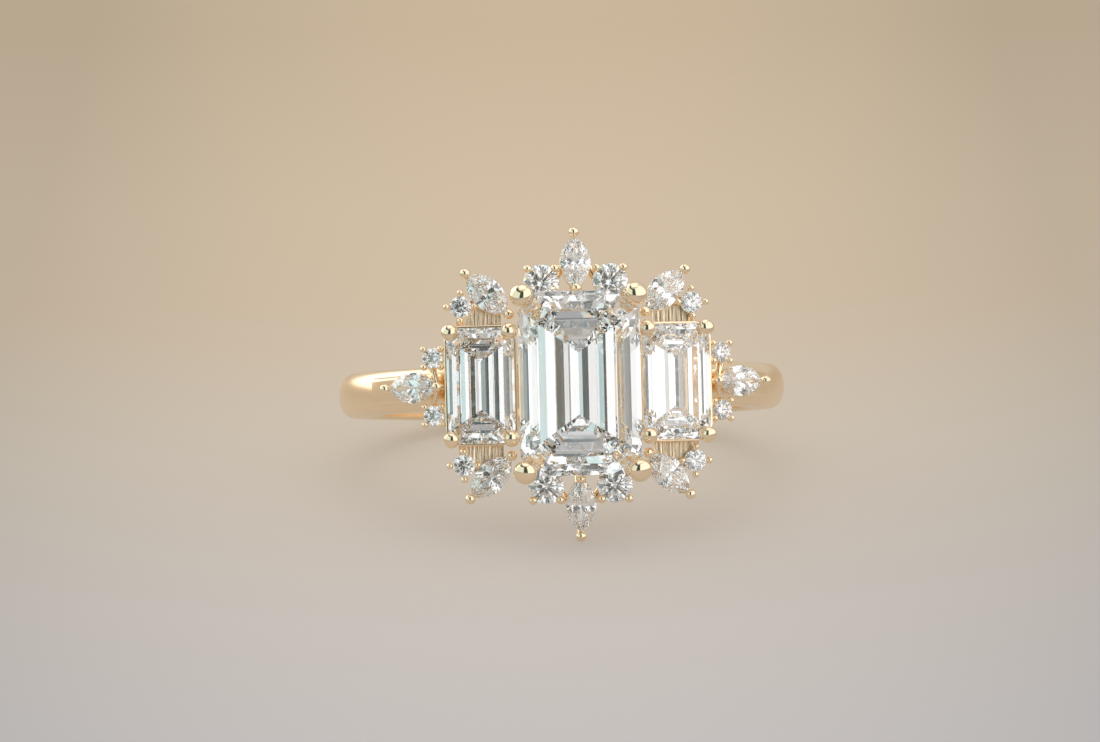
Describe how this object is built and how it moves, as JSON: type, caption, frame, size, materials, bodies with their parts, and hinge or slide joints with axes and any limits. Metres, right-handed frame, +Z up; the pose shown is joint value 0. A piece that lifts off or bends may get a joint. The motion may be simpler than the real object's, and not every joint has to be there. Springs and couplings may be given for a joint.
{
  "type": "engagement ring",
  "caption": "Yellow gold finger ring with an emerald-cut centre stone, emerald-cut side stones and small marquise and round stones around them, lying on its head's lower tip.",
  "frame": {"origin": "middle of the ring's footprint, on the surface that it lies on", "axes": "+Z up from the surface; the head faces -Y and leans back; +Y towards the back of the shank; X across the head"},
  "size_m": [0.0208, 0.0238, 0.0136],
  "materials": {
    "yellow_gold": "polished pale yellow gold",
    "diamond": "clear faceted stone, polished"
  },
  "bodies": {
    "root": {"shank": "yellow_gold", "centre_lower_rail": "yellow_gold", "centre_upper_rail": "yellow_gold", "centre_stone": "diamond", "centre_claw_top_right": "yellow_gold", "corner_setting_top_right": "yellow_gold", "corner_marquise_top_right": "diamond", "corner_round_top_right": "diamond", "centre_claw_top_left": "yellow_gold", "corner_setting_top_left": "yellow_gold", "corner_marquise_top_left": "diamond", "corner_round_top_left": "diamond", "centre_claw_bottom_left": "yellow_gold", "corner_setting_bottom_left": "yellow_gold", "corner_marquise_bottom_left": "diamond", "corner_round_bottom_left": "diamond", "centre_claw_bottom_right": "yellow_gold", "corner_setting_bottom_right": "yellow_gold", "corner_marquise_bottom_right": "diamond", "corner_round_bottom_right": "diamond", "shoulder_right": "yellow_gold", "side_lower_rail_right": "yellow_gold", "side_upper_rail_right": "yellow_gold", "side_claw_right_outer_top": "yellow_gold", "side_claw_right_inner_top": "yellow_gold", "side_claw_right_inner_bottom": "yellow_gold", "side_claw_right_outer_bottom": "yellow_gold", "side_stone_right": "diamond", "end_setting_right": "yellow_gold", "end_marquise_right": "diamond", "end_round_right_upper": "diamond", "end_round_right_lower": "diamond", "shoulder_left": "yellow_gold", "side_lower_rail_left": "yellow_gold", "side_upper_rail_left": "yellow_gold", "side_claw_left_outer_top": "yellow_gold", "side_claw_left_inner_top": "yellow_gold", "side_claw_left_inner_bottom": "yellow_gold", "side_claw_left_outer_bottom": "yellow_gold", "side_stone_left": "diamond", "end_setting_left": "yellow_gold", "end_marquise_left": "diamond", "end_round_left_upper": "diamond", "end_round_left_lower": "diamond", "top_setting": "yellow_gold", "top_marquise": "diamond", "top_round_right": "diamond", "top_round_left": "diamond", "bottom_setting": "yellow_gold", "bottom_marquise": "diamond", "bottom_round_right": "diamond", "bottom_round_left": "diamond"}
  },
  "joints": []
}
